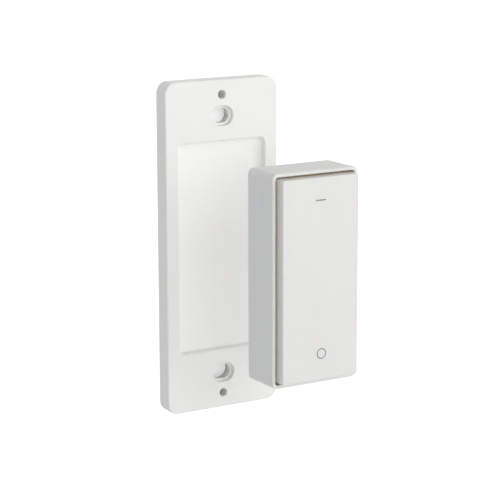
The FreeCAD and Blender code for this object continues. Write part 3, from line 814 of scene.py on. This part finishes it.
# Screws with a turned pan head, a tapered cross recess and a rolled thread
screwLook = {
    "radius": 0.79 * mm,
    "core": 0.60 * mm,
    "pitch": 0.55 * mm,
    "tip": 0.7 * mm,
    "tipShare": 0.25,
    "crestShare": 0.32,
    "headRadius": 1.5 * mm,
    "headHeight": 0.8 * mm,
    "crown": 0.36 * mm,
    "crossLength": 1.0 * mm,  # from the middle to the end of an arm
    "crossWidth": 0.24 * mm,
    "crossDepth": 0.42 * mm,
    "crossTaper": 0.35,
    "crossSide": 0.35,
    "crossRamp": 0.45,
    "around": 28,
    "stepsPerTurn": 8,
    "headAround": 56,
    "headRings": 20,
    "brimFillet": (0.05 * mm, 0.06 * mm),
    "smooth": 35,
    "zinc": (0.56, 0.57, 0.58, 1),
    "streak": (0.64, 0.64, 0.64, 1),
    "roughness": (0.28, 0.4),
}


def threadRadius(look, y, tip):
    rise = min(1.0, max(0.0, (y - tip) / look["tip"]))

    def radiusAt(angle):
        phase = (y / look["pitch"] - angle / (2 * math.pi)) % 1.0
        crest = max(0.0, 1 - abs(phase - 0.5) / look["crestShare"])
        full = look["core"] + (look["radius"] - look["core"]) * crest
        return full * (look["tipShare"] + (1 - look["tipShare"]) * rise)

    return radiusAt


def crossDepthAt(look, u, v):
    depth = 0.0
    for along, aside in ((abs(u), abs(v)), (abs(v), abs(u))):
        width = look["crossWidth"] * (1 - look["crossTaper"] * along / look["crossLength"])
        inside = min(1.0, max(0.0, (width - aside) / (look["crossSide"] * look["crossWidth"])))
        left = look["crossLength"] - along
        reach = min(1.0, max(0.0, left / (look["crossRamp"] * look["crossLength"])))
        depth = max(depth, inside * reach)
    return depth * look["crossDepth"]


def addScrew(form, look, x, z, tip, top):
    seat = top - look["headHeight"]
    step = look["pitch"] / look["stepsPerTurn"]
    rows = max(2, int((seat - tip) / step))
    lastRing = None
    for row in range(rows + 1):
        y = tip + (seat - tip) * row / rows
        ring = ringOf(form, look["around"], threadRadius(look, y, tip), y, x, z)
        if lastRing:
            joinRings(form, lastRing, ring)
        else:
            form.faces.new(ring[::-1])
        lastRing = ring
    form.faces.new(lastRing)
    flank = seat + look["headHeight"] - look["crown"]
    count = look["headAround"]
    brim = look["headRadius"]
    inwards, upwards = look["brimFillet"]
    lastRing = evenRing(form, count, look["core"], seat, x, z)
    for radius, y in ((brim - inwards, seat), (brim, seat + upwards), (brim, flank)):
        ring = evenRing(form, count, radius, y, x, z)
        joinRings(form, lastRing, ring)
        lastRing = ring
    for index in range(1, look["headRings"]):
        share = 1 - index / look["headRings"]
        radius = brim * share
        height = flank + look["crown"] * math.sqrt(1 - share ** 2)
        ring = []
        for turn in range(count):
            angle = 2 * math.pi * turn / count
            u, v = radius * math.cos(angle), radius * math.sin(angle)
            y = height - crossDepthAt(look, u, v)
            ring.append(form.verts.new((x + u, y, z + v)))
        joinRings(form, lastRing, ring)
        lastRing = ring
    closeRing(form, lastRing, (x, top - look["crossDepth"], z))


def screwMetal(look):
    material, tree, shader = newMaterial("screwZinc")
    lines = useGroup(tree, drawnLines, Line=0.09, **{"Stretch X": 1.0, "Stretch Z": 1.0})
    rub = useGroup(tree, edgeRub, Width=0.08, Gain=4.0, Patch=0.6)
    tone = blendColours(tree, lines["Streak"], look["zinc"], look["streak"])
    tone = blendColours(tree, product(tree, rub["Rubbed"], 0.6), tone, wornMetal)
    link(tree, tone, shader.inputs["Base Color"])
    link(tree, between(tree, lines["Streak"], *look["roughness"]), shader.inputs["Roughness"])
    shader.inputs["Metallic"].default_value = 1.0
    bump(tree, shader, lines["Height"], 0.4, 0.002 * mm)
    return material


def screwSet(name, node, material, look):
    low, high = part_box(node)
    reachX = high[0] - look["headRadius"]
    reachZ = high[2] - look["headRadius"]
    columns = (-reachX, reachX) if reachX > look["radius"] else (0.0,)
    form = bmesh.new()
    for x in columns:
        for z in (-reachZ, reachZ):
            addScrew(form, look, x, z, low[1], high[1])
    piece = addPiece(name, meshOf(form, name), "remote", material, look["smooth"])
    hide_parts(node)


# Milky silicone of the keypad mat. The pills under its domes are dark carbon
matLook = {
    "colour": (0.46, 0.47, 0.48, 1),
    "deep": (0.38, 0.39, 0.40, 1),
    "pill": (0.03, 0.03, 0.032, 1),
    "roughness": (0.48, 0.62),
    "scatter": 0.35,
    "scatterRadius": (1.0, 0.9, 0.8),
    "scatterScale": 1.2 * mm,
    "sheen": 0.15,
    "pillRadius": 1.55 * mm,
    "pillReach": (0.75 * mm, 0.95 * mm),  # how far in front of the sheet's back the carbon lies
    "domePlaces": (20.0 * mm, -20.0 * mm),
    "sheet": 1.0 * mm,
    "corner": 2.0 * mm,
    "postHole": 1.9 * mm,
    "postPlaces": (13.2 * mm, -13.2 * mm),
    "around": 72,
    "postAround": 40,
    # A dome's sections in mm, as radius and depth: the cap from its top, the rest from the sheet's front
    "cap": ((1.2, 0.0), (2.1, 0.02), (2.31, 0.09), (2.4, 0.28), (2.4, 0.78), (2.46, 0.93), (2.62, 1.04)),
    "foot": ((4.02, -0.08), (4.16, -0.035), (4.34, 0.0)),
    "hollow": (
        (3.75, 1.0), (3.75, 0.37), (3.68, 0.24), (2.5, -0.26), (2.34, -0.3), (1.7, -0.3),
        (1.53, -0.25), (1.5, -0.14), (1.5, 0.02), (1.42, 0.1), (0.8, 0.1),
    ),
    "smooth": 40,
    "foldedShare": 0.62,  # what is left of the domes' height when the rocker has pressed them in
}


def matSilicone(look):
    material, tree, shader = newMaterial("matSilicone")
    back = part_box("keypad_mat")[1][1]
    near, far = look["pillReach"]
    grain = useGroup(tree, mouldedGrain, Grain=0.5, Patch=4.0)
    parts = axes(tree, partPlace(tree))
    pills = 0.0
    for level in look["domePlaces"]:
        disc = below(tree, fromAxis(tree, parts, level), look["pillRadius"])
        pills = maths(tree, "ADD", pills, disc)
    behind = above(tree, parts["Y"], back - far)
    before = below(tree, parts["Y"], back - near)
    pills = product(tree, pills, behind, before)
    tone = blendColours(tree, grain["Patchy"], look["colour"], look["deep"])
    link(tree, blendColours(tree, pills, tone, look["pill"]), shader.inputs["Base Color"])
    link(tree, between(tree, grain["Patchy"], *look["roughness"]), shader.inputs["Roughness"])
    shader.inputs["Subsurface Weight"].default_value = look["scatter"]
    shader.inputs["Subsurface Radius"].default_value = look["scatterRadius"]
    shader.inputs["Subsurface Scale"].default_value = look["scatterScale"]
    shader.inputs["Sheen Weight"].default_value = look["sheen"]
    bump(tree, shader, grain["Height"], 0.5, 0.01 * mm)
    return material


# The mat's two domes, each a key cap on a thin cone over a hanging pill, moulded in one with the sheet
def sectionAt(points, depth):
    return [(radius * mm, depth + offset * mm) for radius, offset in points]


def turnedSkin(form, section, count, z):
    rings = [evenRing(form, count, radius, y, 0, z) for radius, y in section]
    for first, second in zip(rings, rings[1:]):
        joinRings(form, first, second)
    closeRing(form, rings[-1], (0, section[-1][1], z))
    return rings[0]


def fillBetween(form, loops):
    edges = []
    for loop in loops:
        for index, vertex in enumerate(loop):
            pair = (vertex, loop[(index + 1) % len(loop)])
            edges.append(form.edges.get(pair) or form.edges.new(pair))
    bmesh.ops.triangle_fill(form, use_beauty=True, edges=edges)


def keypadMat(look, material):
    low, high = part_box("keypad_mat")
    back = high[1]
    front = back - look["sheet"]
    form = bmesh.new()
    outside = sectionAt(look["cap"], low[1]) + sectionAt(look["foot"], front)
    inside = sectionAt(look["hollow"], front)
    frontLoops = []
    backLoops = []
    for z in look["domePlaces"]:
        frontLoops.append(turnedSkin(form, outside[::-1], look["around"], z))
        backLoops.append(turnedSkin(form, inside, look["around"], z))
    for z in look["postPlaces"]:
        for y, loops in ((front, frontLoops), (back, backLoops)):
            loops.append(evenRing(form, look["postAround"], look["postHole"], y, 0, z))
        joinRings(form, frontLoops[-1], backLoops[-1])
    for y, loops in ((front, frontLoops), (back, backLoops)):
        outline = roundedOutline(high[0], high[2], look["corner"], y)
        loops.append([form.verts.new(point) for point in outline])
    joinRings(form, frontLoops[-1], backLoops[-1])
    fillBetween(form, frontLoops)
    fillBetween(form, backLoops)
    mesh = meshOf(form, "keypadMat")
    piece = addPiece("keypadMat", mesh, "remote", material, look["smooth"])
    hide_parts("keypad_mat")
    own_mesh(piece)


keypadMat(matLook, matSilicone(matLook))
print("keypad mat made")

screwZinc = screwMetal(screwLook)
screwSet("coverScrewSet", "cover_screws", screwZinc, screwLook)
screwSet("boardScrewSet", "board_screws", screwZinc, screwLook)
print("screws made")

# The on bar and off ring, printed on the rocker's face
signLook = {
    "ink": (0.235, 0.235, 0.232, 1),
    "thinInk": (0.31, 0.31, 0.305, 1),
    "thickness": 0.012 * mm,
    "sink": 0.02 * mm,
    "edge": 0.02 * mm,  # how far the ink's top draws in from its sides
    "barPlace": (-0.15 * mm, 23.75 * mm),
    "barSize": (3.6 * mm, 0.38 * mm),
    "ringPlace": (0.3 * mm, -22.37 * mm),
    "ringRadius": 1.47 * mm,
    "ringStroke": 0.35 * mm,
    "around": 72,
    "endSteps": 12,
    "roughness": (0.5, 0.62),
}


def signInk(look):
    material, tree, shader = newMaterial("signInk")
    grain = useGroup(tree, mouldedGrain, Grain=0.12, Patch=0.9)
    tone = blendColours(tree, grain["Patchy"], look["ink"], look["thinInk"])
    link(tree, tone, shader.inputs["Base Color"])
    link(tree, between(tree, grain["Patchy"], *look["roughness"]), shader.inputs["Roughness"])
    bump(tree, shader, grain["Height"], 0.4, 0.004 * mm)
    return material


def inkLevels(look, face):
    return face + look["sink"], face - 0.6 * look["thickness"], face - look["thickness"]


def onBar(look, face):
    width, height = look["barSize"]
    x, z = look["barPlace"]
    reach = (width - height) / 2
    steps = look["endSteps"]
    form = bmesh.new()
    rings = []
    for y, inset in zip(inkLevels(look, face), (0.0, 0.0, look["edge"])):
        radius = height / 2 - inset
        ring = []
        for side, start in ((1, -90), (-1, 90)):
            for turn in range(steps + 1):
                angle = math.radians(start + 180 * turn / steps)
                across = side * reach + radius * math.cos(angle)
                ring.append(form.verts.new((x + across, y, z + radius * math.sin(angle))))
        rings.append(ring)
    for first, second in zip(rings, rings[1:]):
        joinRings(form, first, second)
    form.faces.new(rings[0])
    form.faces.new(rings[-1])
    return form


def offRing(look, face):
    x, z = look["ringPlace"]
    middle, half = look["ringRadius"], look["ringStroke"] / 2
    root, shoulder, top = inkLevels(look, face)
    edge = look["edge"]
    section = (
        (middle - half, root),
        (middle - half, shoulder),
        (middle - half + edge, top),
        (middle + half - edge, top),
        (middle + half, shoulder),
        (middle + half, root),
    )
    form = bmesh.new()
    rings = [evenRing(form, look["around"], radius, y, x, z) for radius, y in section]
    for first, second in zip(rings, rings[1:] + rings[:1]):
        joinRings(form, first, second)
    return form


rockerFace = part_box("rocker")[0][1]
ink = signInk(signLook)
for name, form in (("onBar", onBar(signLook, rockerFace)), ("offRing", offRing(signLook, rockerFace))):
    addPiece(name, meshOf(form, name), "rocker", ink)
print("signs printed")

# White cards that close the back of each slot and hole, as the wall would. They show only from the front
cardLook = {
    "inset": 0.05 * mm,
    "slotHeight": 41.67 * mm,
    "slotReach": (4.1 * mm, 3.15 * mm),
    "holeHeight": 48.42 * mm,
    "holeReach": 1.4 * mm,
    "white": (0.86, 0.86, 0.855, 1),
    "glow": 0.34,
}


def cardPaper(look):
    material, tree, surface = emptyMaterial("cardPaper")
    clear = tree.nodes.new("ShaderNodeBsdfTransparent")
    side = tree.nodes.new("ShaderNodeNewGeometry")
    pick = tree.nodes.new("ShaderNodeMixShader")
    link(tree, side.outputs["Backfacing"], pick.inputs["Fac"])
    link(tree, paperShader(tree, look["white"], look["glow"]), pick.inputs[1])
    link(tree, clear.outputs["BSDF"], pick.inputs[2])
    link(tree, pick.outputs["Shader"], surface)
    return material


def hangCard(name, look, side, material):
    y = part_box("wall_plate")[1][1] - look["inset"]
    halfX, halfZ = look["slotReach"]
    hole = look["holeReach"]
    behindSlot = roundedOutline(halfX, halfZ, halfZ, y, side * look["slotHeight"])
    behindHole = roundedOutline(hole, hole, hole, y, side * look["holeHeight"])
    count = len(behindSlot)
    mesh = bpy.data.meshes.new(name)
    mesh.from_pydata(behindSlot + behindHole, [], [range(count), range(count, 2 * count)])
    mesh.materials.append(material)
    card = bpy.data.objects.new(name, mesh)
    studio.objects.link(card)


paper = cardPaper(cardLook)
hangCard("upperCard", cardLook, 1, paper)
hangCard("lowerCard", cardLook, -1, paper)
print("cards hung")
